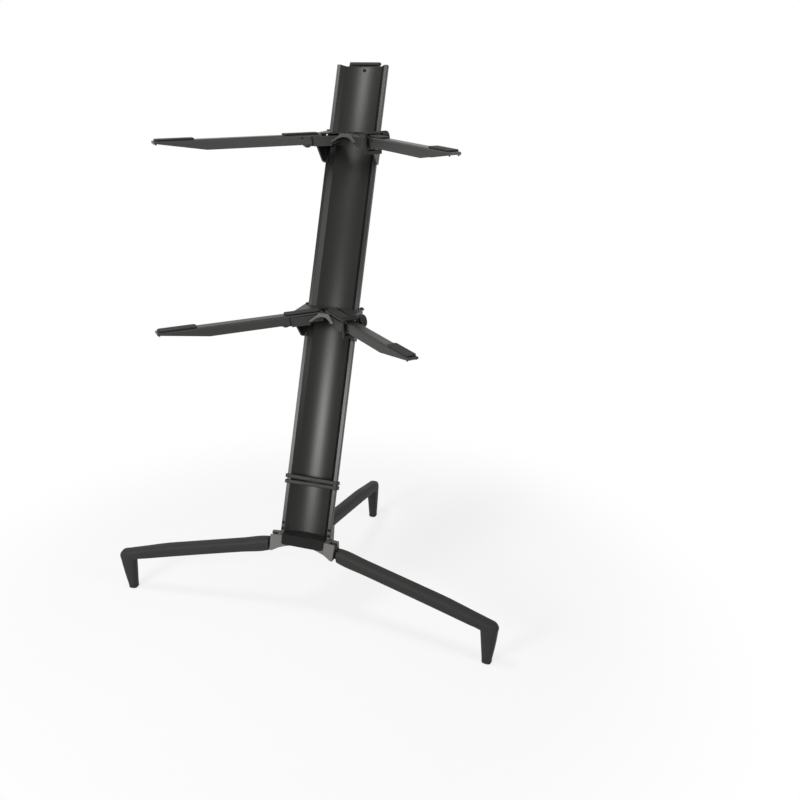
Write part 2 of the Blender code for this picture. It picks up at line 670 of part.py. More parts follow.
def cheek(side):
    """Return the upright wall in front of an arm, with its floor that joins the tongue."""
    near = ARM_WIDTH / 2 + SEAT + PAD_SCREW_HEAD + RUNNING
    far = near + CHEEK_THICKNESS
    low = -CASTING_DEPTH + SEAT
    rings = []
    for height, start in ((-CHEEK_TOP, CHEEK_START), (low, CHEEK_START + CHEEK_SLANT)):
        corners = ((-start, near), (-start, far), (-CHEEK_END, far), (-CHEEK_END, near))
        rings.append([(*beside_arm(side, along, offset), height) for along, offset in corners])
    wall = skin_rings(rings)
    start = CHEEK_START + CHEEK_SLANT
    corners = ((-start, 0.0), (-start, far - SEAT), (-CHEEK_END, far - SEAT), (-CHEEK_END, 0.0))
    outline = [beside_arm(side, along, offset) for along, offset in corners]
    return wall, prism(outline, low + SEAT, -ARM_HEIGHT - RUNNING - SEAT)


def lean_shape(shape):
    """Tilt a shape drawn beside the column into the carrier's upright frame."""
    bmesh.ops.transform(shape, matrix=Matrix.Rotation(-COLUMN_LEAN, 4, "X"), verts=shape.verts)
    return shape


def gusset(side):
    """Return the triangular plate that runs down beside the column."""
    outline = [(-GUSSET_FRONT, -GUSSET_FRONT), *((GUSSET_REAR, -drop) for drop in GUSSET_SHOULDER),
               (GUSSET_REAR_FOOT, -GUSSET_DROP), (-GUSSET_FOOT, -GUSSET_DROP)]
    ends = sorted((side * GUSSET_INNER, side * (GUSSET_INNER + GUSSET_THICKNESS)))
    return lean_shape(prism(outline, ends[0], ends[1], "X"))


def gusset_lip(side):
    """Return the gusset's narrow inward fold in front of the column's flange."""
    ends = sorted((side * (GUSSET_INNER - GUSSET_LIP), side * (GUSSET_INNER + GUSSET_LIP / 3)))
    depth = (-RUNNING - SHOE_THICKNESS, -RUNNING)
    return lean_shape(box(ends, depth, (-GUSSET_DROP + SEAT, -SHOE_TOP + THROUGH)))


def build_carrier(tier, frame, materials):
    """Cast carrier: deck, floor plate, nose, cheeks, tongues, ears and gussets."""
    deck_outline = mirrored([(DECK_HALF, EAR_REACH), (DECK_HALF, -DECK_FRONT),
                             (NOSE_TOP_HALF, -NOSE_TOP_FRONT)])
    deck = prism(deck_outline, -DECK_THICKNESS, 0.0)
    carrier = add_object(f"{tier}_carrier", deck, materials["carrier"], frame, math.radians(30))
    combine(carrier, [prism(swing_opening(side), -FAR, FAR) for side in (-1, 1)], "DIFFERENCE")
    floor_low = -CASTING_DEPTH
    floor_high = -ARM_HEIGHT - RUNNING
    floor_outline = mirrored([(DECK_HALF, 0.0), (DECK_HALF, -DECK_FRONT),
                              (NOSE_LOW_HALF, -NOSE_LOW_FRONT + NOSE_LEG_BAND / 4)])
    parts = [prism(floor_outline, floor_low, floor_high),
             box((-COLUMN_HALF, COLUMN_HALF), (-REAR_STRIP, 0.0), (floor_low + RUNNING, -RUNNING))]
    parts.append(nose_block())
    for side in (-1, 1):
        ends = sorted((side * (DECK_HALF - DECK_THICKNESS), side * (DECK_HALF - NUDGE)))
        parts.append(box(ends, (-DECK_FRONT + NUDGE, -RUNNING), (floor_low + NUDGE, -NUDGE)))
        parts += cheek(side)
        parts.append(tongue(side))
        parts.append(gusset(side))
        parts.append(gusset_lip(side))
    combine(carrier, parts, "UNION")
    trim = lean_shape(prism(column_envelope(RUNNING), -FAR, FAR))
    radius = (NOSE_ARCH_HALF ** 2 + NOSE_ARCH_HEIGHT ** 2) / (2 * NOSE_ARCH_HEIGHT)
    tunnel = prism(circle((0.0, -NOSE_DEPTH + NOSE_ARCH_HEIGHT - radius), radius, 48), -FAR, FAR, "Y")
    bores = [prism(circle((side * SWING_X, -SWING_FRONT), PIVOT_RADIUS + SEAT), -FAR, FAR) for side in (-1, 1)]
    bores += [prism(circle(hook_stem_spot(side), STEM_RADIUS + SEAT), -HOOK_DROP, FAR) for side in (-1, 1)]
    combine(carrier, [trim, tunnel] + bores, "DIFFERENCE")
    build_carrier_fittings(tier, frame, materials)


def nose_block():
    """Return the sloping nose between the two cheeks."""
    top_back = -NOSE_TOP_FRONT + NOSE_BAND
    top = [(-NOSE_TOP_HALF, -NOSE_TOP_FRONT), (NOSE_TOP_HALF, -NOSE_TOP_FRONT),
           (NOSE_TOP_HALF * NOSE_TAPER, top_back), (-NOSE_TOP_HALF * NOSE_TAPER, top_back)]
    low_back = -NOSE_LOW_FRONT + NOSE_LEG_BAND
    low = [(-NOSE_LOW_HALF, -NOSE_LOW_FRONT), (NOSE_LOW_HALF, -NOSE_LOW_FRONT),
           (NOSE_LOW_HALF * NOSE_TAPER, low_back), (-NOSE_LOW_HALF * NOSE_TAPER, low_back)]
    rings = [[(x, y, -SEAT) for x, y in top], [(x, y, -NOSE_DEPTH) for x, y in low],
             [(x, y + NOSE_LEG_BAND / 2, -CASTING_DEPTH + 2 * SEAT) for x, y in low]]
    return skin_rings(rings)


def tongue(side):
    """Return the tongue that reaches under an arm to its swing pin."""
    angle = (SWING_MIN + SWING_MAX) / 2
    forward = Vector((math.sin(angle), -math.cos(angle)))
    inner = Vector((-math.cos(angle), -math.sin(angle)))
    pin = Vector((SWING_X, -SWING_FRONT))
    root = pin - forward * TONGUE_LENGTH
    points = [root - inner * TONGUE_HALF, root + inner * TONGUE_HALF]
    start = math.atan2(inner.y, inner.x)
    points += [Vector(p) for p in arc(pin, TONGUE_HALF, start, start + math.pi, 10)]
    outline = [(side * p.x, p.y) for p in points]
    return prism(outline, -CASTING_DEPTH + NUDGE * 2, -ARM_HEIGHT - RUNNING - NUDGE * 2)


def hook_stem_spot(side):
    """Return where a hook's stem passes up through its ear."""
    return (side * (DECK_HALF - STUD_INSET), EAR_REACH - STUD_INSET)


def build_carrier_fittings(tier, frame, materials):
    """Plastic hooks that grip behind the column, with their studs, and shoes against its flanges."""
    behind = RAIL_DEPTH + RUNNING
    hook_low = -HOOK_DROP - HOOK_HEIGHT
    lip = GUSSET_INNER - GUSSET_LIP
    for side, label in ((-1, "left"), (1, "right")):
        reach = sorted((side * (COLUMN_HALF - FLANGE_WIDTH + 3 * END_CORNER),
                        side * (DECK_HALF - 2 * END_CORNER)))
        shape = lean_shape(box(reach, (behind, behind + HOOK_THICKNESS), (hook_low, -HOOK_DROP)))
        hook = add_object(f"{tier}_hook_{label}", shape, materials["black"], frame, math.radians(35))
        spot = hook_stem_spot(side)
        stem = prism(circle(spot, STEM_RADIUS), -HOOK_DROP - STEM_OVERLAP, STUD_HEIGHT - RUNNING)
        head = prism(circle(spot, STUD_RADIUS), SEAT, STUD_HEIGHT)
        combine(hook, [stem, head], "UNION")
        grip = sorted((side * (COLUMN_HALF - FLANGE_WIDTH + END_CORNER), side * (lip - SEAT)))
        shape = lean_shape(box(grip, (-RUNNING - SHOE_THICKNESS, -RUNNING), (-GUSSET_DROP, -SHOE_TOP)))
        shoe = add_object(f"{tier}_shoe_{label}", shape, materials["black"], frame)
        bevel(shoe, SHOE_THICKNESS / 4)


def arm_section():
    """Return the arm's inverted channel, from its left lower edge round to its right one."""
    half = ARM_WIDTH / 2
    inner = half - ARM_WALL
    r = ARM_ROUND
    outer = [(-half, -ARM_HEIGHT)] + arc((-half + r, -r), r, math.pi, math.pi / 2, 5)
    outer += arc((half - r, -r), r, math.pi / 2, 0.0, 5) + [(half, -ARM_HEIGHT)]
    inside = [(inner, -ARM_HEIGHT), (inner, -ARM_WALL), (-inner, -ARM_WALL), (-inner, -ARM_HEIGHT)]
    return outer + inside


def pad(name, start, frame, materials):
    """One rubber pad glued on top of an arm."""
    half = PAD_WIDTH / 2
    outline = rounded_rectangle((-half, half), (start, start + PAD_LENGTH), PAD_CORNER)
    obj = add_object(name, prism(outline, SEAT, PAD_THICKNESS), materials["pad"], frame, math.radians(35))
    bevel(obj, SOFT_EDGE, 2, math.radians(60))
    return obj


def build_arm(name, frame, reach, side, materials):
    """One support arm: channel, two pads and the root pad's screw."""
    slide = add_empty(f"{name}_arm_slide", (0, -reach, 0), parent=frame)
    arm = add_object(f"{name}_arm", prism(arm_section(), 0.0, ARM_LENGTH, "Y"), materials["arm"], slide,
                     math.radians(30))
    below = -ARM_HEIGHT - THROUGH
    wedge = prism([(-THROUGH, -ARM_TIP_LIP), (ARM_TIP_FLAT, -ARM_TIP_LIP), (ARM_TIP_CUT, -ARM_HEIGHT),
                   (ARM_TIP_CUT, below), (-THROUGH, below)], -FAR, FAR, "X")
    inner = ARM_WIDTH / 2 - ARM_WALL
    ends = sorted((-side * FAR, 0.0))
    hole = prism(circle(pad_screw_spot(), PAD_SCREW_RADIUS * CROWN_SHARE, 12), ends[0], ends[1], "X")
    combine(arm, [wedge, hole], "DIFFERENCE")
    tip = box((-inner - SEAT, inner + SEAT), (0.0, ARM_WALL), (-ARM_TIP_LIP, -ARM_WALL + SEAT))
    combine(arm, [tip], "UNION")
    pad(f"{name}_tip_pad", TIP_PAD_START, slide, materials)
    pad(f"{name}_root_pad", ROOT_PAD_START, slide, materials)
    build_pad_screw(name, slide, -side, materials)


def build_pad_screw(name, slide, side, materials):
    """Screw of the root pad, in the wall of the arm that faces forwards."""
    half = ARM_WIDTH / 2
    centre = pad_screw_spot()
    head = circle(centre, PAD_SCREW_RADIUS, 12)
    shank = circle(centre, PAD_SCREW_RADIUS * CROWN_SHARE - SEAT, 12)
    rings = [[(side * (half + SEAT + PAD_SCREW_HEAD), y, z) for y, z in head],
             [(side * (half + SEAT), y, z) for y, z in head],
             [(side * (half + SEAT), y, z) for y, z in shank],
             [(side * (half - ARM_WALL + SEAT), y, z) for y, z in shank]]
    add_object(f"{name}_pad_screw", skin_rings(rings), materials["black"], slide, math.radians(35))


def pad_screw_spot():
    """Return the root pad's screw as distance from the tip and height."""
    return (ROOT_PAD_START + PAD_LENGTH / 2, -PAD_SCREW_DROP)


def build_swing(name, frame, materials):
    """Swing block inside the arm's channel and the pin that it turns on."""
    half = ARM_WIDTH / 2 - ARM_WALL - SEAT * 2
    block = add_object(f"{name}_swing_block", box((-half, half), (-BLOCK_FRONT, BLOCK_BACK),
                       (-ARM_HEIGHT - RUNNING + SEAT, -ARM_WALL - SEAT * 2)), materials["black"], frame)
    combine(block, [prism(circle((0, 0), PIVOT_RADIUS + SEAT), -FAR, SEAT - PIVOT_TOP_DROP)], "DIFFERENCE")
    head_top = -CASTING_DEPTH - SEAT
    rings = []
    for height, radius in ((head_top - PIVOT_HEAD_THICKNESS, PIVOT_HEAD_RADIUS), (head_top, PIVOT_HEAD_RADIUS),
                           (head_top, PIVOT_RADIUS), (-PIVOT_TOP_DROP, PIVOT_RADIUS)):
        rings.append([(x, y, height) for x, y in circle((0, 0), radius)])
    add_object(f"{name}_swing_pin", skin_rings(rings), materials["steel"], frame, math.radians(35))


def build_loop_clamp(name, frame, materials):
    """Black loop round a right arm, with its round thumb knob on the outer side."""
    inside = ARM_WIDTH / 2 + SEAT + PAD_SCREW_HEAD + RUNNING
    outside = inside + LOOP_WALL
    along = (-LOOP_LENGTH / 2, LOOP_LENGTH / 2)
    bar_low = PAD_THICKNESS + RUNNING
    bar_top = bar_low + LOOP_BAR
    floor_low = -LOOP_FLOOR
    floor_top = -CASTING_DEPTH - SEAT * 2 - PIVOT_HEAD_THICKNESS
    loop = add_object(f"{name}_loop", box((-outside, outside), along, (floor_low, bar_top)), materials["black"],
                      frame)
    combine(loop, [box((-inside, inside), (-FAR, FAR), (floor_top, bar_low))], "DIFFERENCE")
    bevel(loop, SOFT_EDGE)
    start = outside + SEAT
    outline = circle((0.0, -KNOB_CENTRE), KNOB_RADIUS, KNOB_FACETS)
    knob = add_object(f"{name}_knob", prism(outline, start, start + KNOB_THICKNESS, "X"), materials["black"],
                      frame, math.radians(30))
    bevel(knob, SOFT_EDGE)


def build_tier(tier, materials):
    """One carrier with its two arms."""
    frame = add_empty(f"{tier}_carrier_frame", carrier_origin(tier))
    build_carrier(tier, frame, materials)
    for label, side in (("left", -1), ("right", 1)):
        name = f"{tier}_{label}"
        angle, tail = ARM_POSES[name]
        swing = add_empty(f"{name}_swing", (side * SWING_X, -SWING_FRONT, 0), (0, 0, side * angle), frame)
        build_arm(name, swing, ARM_LENGTH - tail, side, materials)
        build_swing(name, swing, materials)
        if side > 0:
            build_loop_clamp(name, swing, materials)


def make_materials():
    """Return the stand's materials by use."""
    return {
        "column": principled("anodised_column", (0.085, 0.083, 0.080), 0.35, 0.85),
        "casting": principled("grey_casting", (0.200, 0.192, 0.185), 0.45, 0.60),
        "plate": principled("dark_plate", (0.022, 0.022, 0.021), 0.50, 0.0),
        "leg": principled("satin_leg", (0.060, 0.058, 0.056), 0.40, 0.70),
        "carrier": principled("dark_carrier", (0.070, 0.068, 0.065), 0.45, 0.60),
        "arm": principled("anodised_arm", (0.110, 0.105, 0.100), 0.38, 0.80),
        "pad": principled("grey_pad", (0.085, 0.082, 0.078), 0.80, 0.0),
        "band": principled("black_band", (0.012, 0.012, 0.012), 0.60, 0.0),
        "rubber": principled("black_rubber", (0.015, 0.015, 0.015), 0.75, 0.0),
        "black": principled("black_plastic", (0.014, 0.014, 0.014), 0.50, 0.0),
        "steel": principled("dark_steel", (0.090, 0.090, 0.088), 0.35, 1.0),
    }


clear_scene()
palette = make_materials()
column_frame = add_empty("column_frame", (0, COLUMN_FOOT_Y, COLUMN_FOOT_Z), (-COLUMN_LEAN, 0, 0))
build_column(column_frame, palette)
build_hub(palette)
for leg_name, leg_angle in leg_angles().items():
    build_leg(leg_name, leg_angle, palette)
for tier_name in TIER_HEIGHTS:
    build_tier(tier_name, palette)
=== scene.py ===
"""Looks of a black two-tier keyboard stand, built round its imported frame.

Metres, +Z up, origin on the floor under the foot casting, front at -Y. The studio and the
helpers come first, then the stand from its column and foot to its carriers, arms and clamps.
"""
import json
import math

import bmesh
import bpy
import numpy as np
from mathutils import Matrix, Vector


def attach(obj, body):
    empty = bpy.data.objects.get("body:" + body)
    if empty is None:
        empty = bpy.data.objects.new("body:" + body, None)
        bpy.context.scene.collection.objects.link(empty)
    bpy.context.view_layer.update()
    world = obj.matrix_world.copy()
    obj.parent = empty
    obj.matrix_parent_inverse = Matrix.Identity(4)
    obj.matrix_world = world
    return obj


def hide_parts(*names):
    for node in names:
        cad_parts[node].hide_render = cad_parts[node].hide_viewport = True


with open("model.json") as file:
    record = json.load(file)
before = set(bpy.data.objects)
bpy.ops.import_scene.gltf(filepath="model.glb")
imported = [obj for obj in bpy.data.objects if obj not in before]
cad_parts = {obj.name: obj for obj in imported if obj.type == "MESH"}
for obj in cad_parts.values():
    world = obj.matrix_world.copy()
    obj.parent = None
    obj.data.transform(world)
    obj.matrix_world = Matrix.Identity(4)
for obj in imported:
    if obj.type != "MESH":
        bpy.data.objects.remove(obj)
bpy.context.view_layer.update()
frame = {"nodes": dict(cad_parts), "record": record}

# Studio. A white sweep that shows white to the camera and keeps only the stand's faint
# shadow, soft lamps in front, above and on the right, and a small one for the column's top.
# The camera stands where the photographer's did.
WHITE = (1.0, 1.0, 1.0, 1.0)
CAMERA_PLACE = (0.86670, -1.80221, 1.46900)
CAMERA_AIM = (0.24741, 0.08135, 0.64140)
LENS = 37.70


def looking(place, aim):
    """Rotation of a camera or lamp that looks from place at aim."""
    return (Vector(aim) - Vector(place)).to_track_quat("-Z", "Y").to_euler()


camera_data = bpy.data.cameras.new("camera")
camera_data.lens = LENS
camera = bpy.data.objects.new("camera", camera_data)
camera.location = CAMERA_PLACE
camera.rotation_euler = looking(CAMERA_PLACE, CAMERA_AIM)
bpy.context.scene.collection.objects.link(camera)
bpy.context.scene.camera = camera
bpy.context.scene.view_settings.view_transform = "Standard"


class Wire:
    """An output socket of a material's nodes. Arithmetic on it adds Math nodes."""

    def __init__(self, socket):
        self.socket = socket

    def node(self, kind, settings=(), values=(), output=0):
        """Add a node: its settings first, then the values or wires of its sockets."""
        tree = self.socket.id_data
        added = tree.nodes.new("ShaderNode" + kind)
        for name, value in dict(settings).items():
            setattr(added, name, value)
        for key, value in dict(values).items():
            if isinstance(value, Wire):
                tree.links.new(value.socket, added.inputs[key])
            else:
                added.inputs[key].default_value = value
        return Wire(added.outputs[output])

    def math(self, operation, *terms):
        """Add a Math node on the given terms, in their order."""
        return self.node("Math", {"operation": operation}, dict(enumerate(terms)))

    def __add__(self, other):
        return self.math("ADD", self, other)

    __radd__ = __add__

    def __sub__(self, other):
        return self.math("SUBTRACT", self, other)

    def __rsub__(self, other):
        return self.math("SUBTRACT", other, self)

    def __mul__(self, other):
        return self.math("MULTIPLY", self, other)

    __rmul__ = __mul__


def seen_rays(tree):
    """Empty a node tree and return a wire that is 1 for camera, glossy and transmission rays."""
    tree.nodes.clear()
    path = tree.nodes.new("ShaderNodeLightPath")
    kinds = ("Is Camera Ray", "Is Glossy Ray", "Is Transmission Ray")
    camera_ray, glossy_ray, transmission_ray = [Wire(path.outputs[kind]) for kind in kinds]
    return camera_ray + glossy_ray + transmission_ray


def link_output(shader, kind):
    """Join a shader wire to the tree's output node."""
    tree = shader.socket.id_data
    out = tree.nodes.new(kind)
    tree.links.new(shader.socket, out.inputs["Surface"])


AMBIENT = 0.30
world = bpy.data.worlds.new("studio")
world.use_nodes = True
bpy.context.scene.world = world
seen = seen_rays(world.node_tree)
sky = seen.node("Background", {}, {"Color": WHITE, "Strength": AMBIENT + (1.0 - AMBIENT) * seen})
link_output(sky, "ShaderNodeOutputWorld")

FLOOR_HALF = 30.0
PAPER = (0.9, 0.9, 0.9, 1.0)
SHADOW_SHARE = 0.22  # how much of the lit paper shows within SHADOW_START of the stand
SHADOW_START = 0.65
SHADOW_REACH = 1.3
floor_mesh = bpy.data.meshes.new("floor")
corners = ((-1, -1), (1, -1), (1, 1), (-1, 1))
floor_mesh.from_pydata([(x * FLOOR_HALF, y * FLOOR_HALF, 0.0) for x, y in corners], [],
                       [(0, 1, 2, 3)])
floor = bpy.data.objects.new("floor", floor_mesh)
bpy.context.scene.collection.objects.link(floor)
floor_material = bpy.data.materials.new("floor_paper")
floor_material.use_nodes = True
floor_mesh.materials.append(floor_material)
seen = seen_rays(floor_material.node_tree)
place = seen.node("TexCoord", output=3)
away = seen.node("VectorMath", {"operation": "LENGTH"}, {0: place}, output=1)
lit = seen.node("MapRange", {"interpolation_type": "SMOOTHSTEP"},
                {"Value": away, "From Min": SHADOW_START, "From Max": SHADOW_REACH,
                 "To Min": SHADOW_SHARE, "To Max": 0.0})
glow = seen.node("Emission", {}, {"Color": WHITE, "Strength": 1.0})
paper = seen.node("BsdfDiffuse", {}, {"Color": PAPER})
sweep = seen.node("MixShader", {}, {0: seen * (1.0 - lit), 1: paper, 2: glow})
link_output(sweep, "ShaderNodeOutputMaterial")


def lamp(name, place, aim, width, height, power):
    """Rectangular soft lamp that looks from place at aim."""
    data = bpy.data.lights.new(name, "AREA")
    data.shape = "RECTANGLE"
    data.size = width
    data.size_y = height
    data.energy = power
    light = bpy.data.objects.new(name, data)
    light.location = place
    light.rotation_euler = looking(place, aim)
    light.visible_camera = False
    bpy.context.scene.collection.objects.link(light)


lamp("front_lamp", (-1.15, -2.60, 1.52), (0.0, 0.1, 0.55), 0.9, 0.9, 52.0)
lamp("top_lamp", (-0.70, -0.30, 2.9), (0.0, 0.2, 0.8), 0.6, 0.6, 18.0)
lamp("column_lamp", (-0.40, -0.25, 2.06), (0.0, 0.48, 1.37), 0.30, 0.30, 3.0)
lamp("side_lamp", (2.4, -0.4, 1.6), (0.0, 0.1, 0.7), 0.8, 1.4, 14.0)

# Finishes. Patterns in object coordinates, edges that look rounded, and three families of
# material that the pieces share: drawn metal, powder coat and rubber.
EDGE_WEAR_AND_HIGHLIGHT_FROM = 0.02  # how far an edge's normal has turned where its wear and painted highlight start
EDGE_WEAR_AND_HIGHLIGHT_TO = 0.25    # and where they are full


def new_finish(name, roughness, metallic, color, specular=0.5):
    """Return a new material, its shader node and a wire of its Object coordinates."""
    material = bpy.data.materials.new(name)
    material.use_nodes = True
    shader = material.node_tree.nodes["Principled BSDF"]
    shader.inputs["Base Color"].default_value = (*color, 1.0)
    shader.inputs["Roughness"].default_value = roughness
    shader.inputs["Metallic"].default_value = metallic
    shader.inputs["Specular IOR Level"].default_value = specular
    coordinates = material.node_tree.nodes.new("ShaderNodeTexCoord")
    return material, shader, Wire(coordinates.outputs["Object"])


def join(shader, **wires):
    """Link wires to a shader's sockets, named with underscores for spaces."""
    for name, wire in wires.items():
        shader.id_data.links.new(wire.socket, shader.inputs[name.replace("_", " ")])


def noise(place, size, detail=2.0, turn=(0.0, 0.0, 0.0), stretch=(1.0, 1.0, 1.0)):
    """Soft random pattern, 0 to 1, with patches about size across, stretched along turned axes."""
    moved = place.node("Mapping", {"vector_type": "TEXTURE"},
                       {"Vector": place, "Rotation": turn, "Scale": [size * s for s in stretch]})
    return moved.node("TexNoise", {}, {"Vector": moved, "Scale": 1.0, "Detail": detail})


def shade_between(factor, dark, light):
    """Mix two colours by a wire. Each is a wire or three numbers."""
    ends = [end if isinstance(end, Wire) else (*end, 1.0) for end in (dark, light)]
    return factor.node("Mix", {"data_type": "RGBA"}, {0: factor, 6: ends[0], 7: ends[1]}, output=2)


def edge_rounding(place, radius):
    """Normal as if edges had that radius, and a wire that grows from 0 towards edges, where the
    colour takes wear and a painted highlight.
    """
    soft = place.node("Bevel", {"samples": 4}, {"Radius": radius})
    face = place.node("NewGeometry", output=1)
    match = place.node("VectorMath", {"operation": "DOT_PRODUCT"}, {0: soft, 1: face}, output=1)
    wear_and_highlight = place.node("MapRange", {},
                      {"Value": 1.0 - match, "From Min": EDGE_WEAR_AND_HIGHLIGHT_FROM, "From Max": EDGE_WEAR_AND_HIGHLIGHT_TO})
    return soft, wear_and_highlight


def bump(height, normal, depth, strength):
    """Normal that rises and falls by depth with a 0 to 1 height."""
    return height.node("Bump", {}, {"Strength": strength, "Distance": depth, "Height": height,
                                    "Normal": normal})


def drawn_metal(name, turn, dark, light, roughness):
    """Anodised extrusion: drawing lines along its turned Z, faint clouds, edges brightened by wear
    and a painted highlight.
    """
    material, shader, place = new_finish(name, roughness, 0.85, light)
    lines = noise(place, 0.0008, 3.0, turn, (1.0, 1.0, 220.0))
    cloud = noise(place, 0.09, 2.0, turn, (1.0, 1.0, 4.0))
    soft, wear_and_highlight = edge_rounding(place, 0.0007)
    base = shade_between(lines * 0.45 + cloud * 0.55, dark, light)
    # Edges lighter in the base colour: wear and a painted highlight.
    join(shader, Base_Color=shade_between(wear_and_highlight * 0.35, base, [c * 2.4 for c in light]),
         Roughness=(lines - 0.5) * 0.10 + (cloud - 0.5) * 0.08 + roughness,
         Normal=bump(lines, soft, 0.00004, 0.5))
    return material


def powder_coat(name, dark, light, roughness, metallic, grain=0.0011, radius=0.0010, specular=0.5):
    """Fine powder coat, also for moulded and blackened parts: small even grain, broad clouding
    and edges made slightly lighter by wear and a painted highlight."""
    material, shader, place = new_finish(name, roughness, metallic, light, specular)
    pimples = noise(place, grain, 2.0)
    cloud = noise(place, 0.07, 3.0)
    soft, wear_and_highlight = edge_rounding(place, radius)
    base = shade_between(pimples * 0.35 + cloud * 0.65, dark, light)
    # Edges lighter in the base colour: wear and a painted highlight.
    join(shader, Base_Color=shade_between(wear_and_highlight * 0.25, base, [c * 2.0 for c in light]),
         Roughness=(pimples - 0.5) * 0.16 + (cloud - 0.5) * 0.08 + roughness,
         Normal=bump(pimples, soft, 0.00006, 0.6))
    return material


def rubber(name, dark, light, roughness=0.72, grain=0.0009):
    """Matt rubber: dusty mottling and a fine skin."""
    material, shader, place = new_finish(name, roughness, 0.0, light, 0.35)
    skin = noise(place, grain, 2.0)
    dust = noise(place, 0.018, 4.0)
    soft, _ = edge_rounding(place, 0.0008)
    join(shader, Base_Color=shade_between(dust * 0.8 + skin * 0.2, dark, light),
         Roughness=(dust - 0.5) * 0.2 + roughness, Normal=bump(skin, soft, 0.00005, 0.6))
    return material


def dress(material, *nodes):
    """Give CAD nodes a material."""
    for name in nodes:
        target = frame["nodes"][name]
        target.data.materials.clear()
        target.data.materials.append(material)


# Shapes. New pieces are stacks of closed rings, drawn in a piece's own frame, carried into
# the stand's and skinned. Each then takes the place of one CAD node, or rides beside it.
def skinned(name, rings, finish, looped=False, flat_above=40.0):
    """Object from an array of rings (ring, corner, xyz). Each ring closes on itself and is
    joined to the next by four-sided faces. The last ring joins the first, or fans close both
    ends at their mean points. Edges sharper than flat_above degrees stay sharp."""
    count, sides = rings.shape[:2]
    ring = np.arange(count if looped else count - 1)[:, None] * sides
    corner = np.arange(sides)[None, :]
    following = (corner + 1) % sides
    above = (ring + sides) % (count * sides)
    quads = [ring + corner, ring + following, above + following, above + corner]
    faces = np.stack(quads, -1).reshape(-1, 4).tolist()
    points = rings.reshape(-1, 3)
    if not looped:
        points = np.concatenate([points, rings[[0, -1]].mean(1)])
        last = (count - 1) * sides
        around = np.arange(sides)
        onward = (around + 1) % sides
        hub = np.full(sides, count * sides)
        faces += np.stack([onward, around, hub], -1).tolist()
        faces += np.stack([last + around, last + onward, hub + 1], -1).tolist()
    mesh = bpy.data.meshes.new(name)
    mesh.from_pydata(points.tolist(), [], faces)
    mesh.materials.append(finish)
    shell = bmesh.new()
    shell.from_mesh(mesh)
    bmesh.ops.recalc_face_normals(shell, faces=shell.faces)
    shell.to_mesh(mesh)
    shell.free()
    mesh.shade_smooth()
    mesh.set_sharp_from_angle(angle=math.radians(flat_above))
    made = bpy.data.objects.new(name, mesh)
    bpy.context.scene.collection.objects.link(made)
    return made


def placed(points, own_frame):
    """Points carried from a piece's own frame into the stand's: turned, then moved."""
    matrix = np.array(own_frame)
    return points @ matrix[:3, :3].T + matrix[:3, 3]


def signed_power(values, power):
    """Values raised to a power, each with its own sign."""
    return np.sign(values) * np.abs(values) ** power


def stands_for(made, node):
    """Let a new piece take a CAD node's place on the body that holds that node."""
    bodies = frame["record"]["behaviour"]["bodies"]
    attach(made, next(body for body, nodes in bodies.items() if node in nodes))
    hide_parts(node)


SCREW_SIDES = 48
SOCKET_SHARE = 0.42  # the socket's half-width as a share of the head's radius
DOME_END = 62.0      # degrees over the dome where the socket's rim starts


def socket_screw(node, own_frame, head, rise, shank, reach, finish):
    """Button screw with a hexagon socket, its head upwards from z = 0 in its own frame.

    Each ring has a radius and a height: up the shank, out under the head, over its dome
    r = head cos(t) and z = rise (0.35 + 0.65 sin(t)), then into the socket, whose rings take
    the hexagon's radius r / cos((a + 30 degrees) mod 60 degrees - 30 degrees)."""
    dome = np.radians(np.linspace(0.0, DOME_END, 9))
    top = rise * (0.35 + 0.65 * math.sin(dome[-1]))
    socket = head * SOCKET_SHARE
    under = [(shank * 0.8, -reach), (shank, -reach + shank * 0.2), (shank, 0.0),
             (head * 0.97, 0.0), (head, rise * 0.05)]
    over = np.stack([head * np.cos(dome), rise * (0.35 + 0.65 * np.sin(dome))], -1)
    inside = [(socket * 1.16, top), (socket, top - rise * 0.06),
              (socket * 0.98, top - rise * 0.12), (socket * 0.94, top - rise * 0.62)]
    profile = np.concatenate([under, over, inside])
    angle = np.linspace(0.0, 2 * math.pi, SCREW_SIDES, endpoint=False)
    sixth = math.pi / 3
    hexagon = 1.0 / np.cos((angle + sixth / 2) % sixth - sixth / 2)
    hexagonal = (np.arange(len(profile)) >= len(profile) - 3)[:, None]
    radius = profile[:, :1] * np.where(hexagonal, hexagon[None, :], 1.0)
    height = np.broadcast_to(profile[:, 1:], radius.shape)
    rings = np.stack([radius * np.cos(angle), radius * np.sin(angle), height], -1)
    made = skinned(f"{node}_socketed", placed(rings, own_frame), finish, flat_above=32.0)
    stands_for(made, node)


# Column. One extruded aluminium profile, satin black anodised, with two flanges, slanted walls
# and a shallow curved channel. Its drawing lines run up the lean. A bent tab with a rubber bar
# closes its top. Black button screws hold the column's foot and the tab.
LEAN = math.radians(23.0)
COLUMN_FOOT = Vector((0.0, -0.003, 0.2364))
COLUMN_FRAME = Matrix.Translation(COLUMN_FOOT) @ Matrix.Rotation(-LEAN, 4, "X")
COLUMN_HALF = 0.0735
CHANNEL_DEPTH = 0.021
SEAT = 0.0003  # gap between pieces that rest on each other
FLANGE_MIDDLE = 0.0686
FLANGE_SCREW_RISES = (0.012, 0.028)
TOP_SCREW_RISE = 1.292
OUT_FRONT = Matrix.Rotation(math.radians(90.0), 4, "X")
SIDES = {"left": -1, "right": 1}
dress(drawn_metal("black_anodised_column", (-LEAN, 0.0, 0.0), (0.0190, 0.0190, 0.0180),
                  (0.0280, 0.0280, 0.0265), 0.33), "column", "top_tab")
moulded_black = powder_coat("moulded_black", (0.006, 0.006, 0.006), (0.011, 0.011, 0.010),
                            0.46, 0.0, 0.0008, 0.0008, specular=0.25)
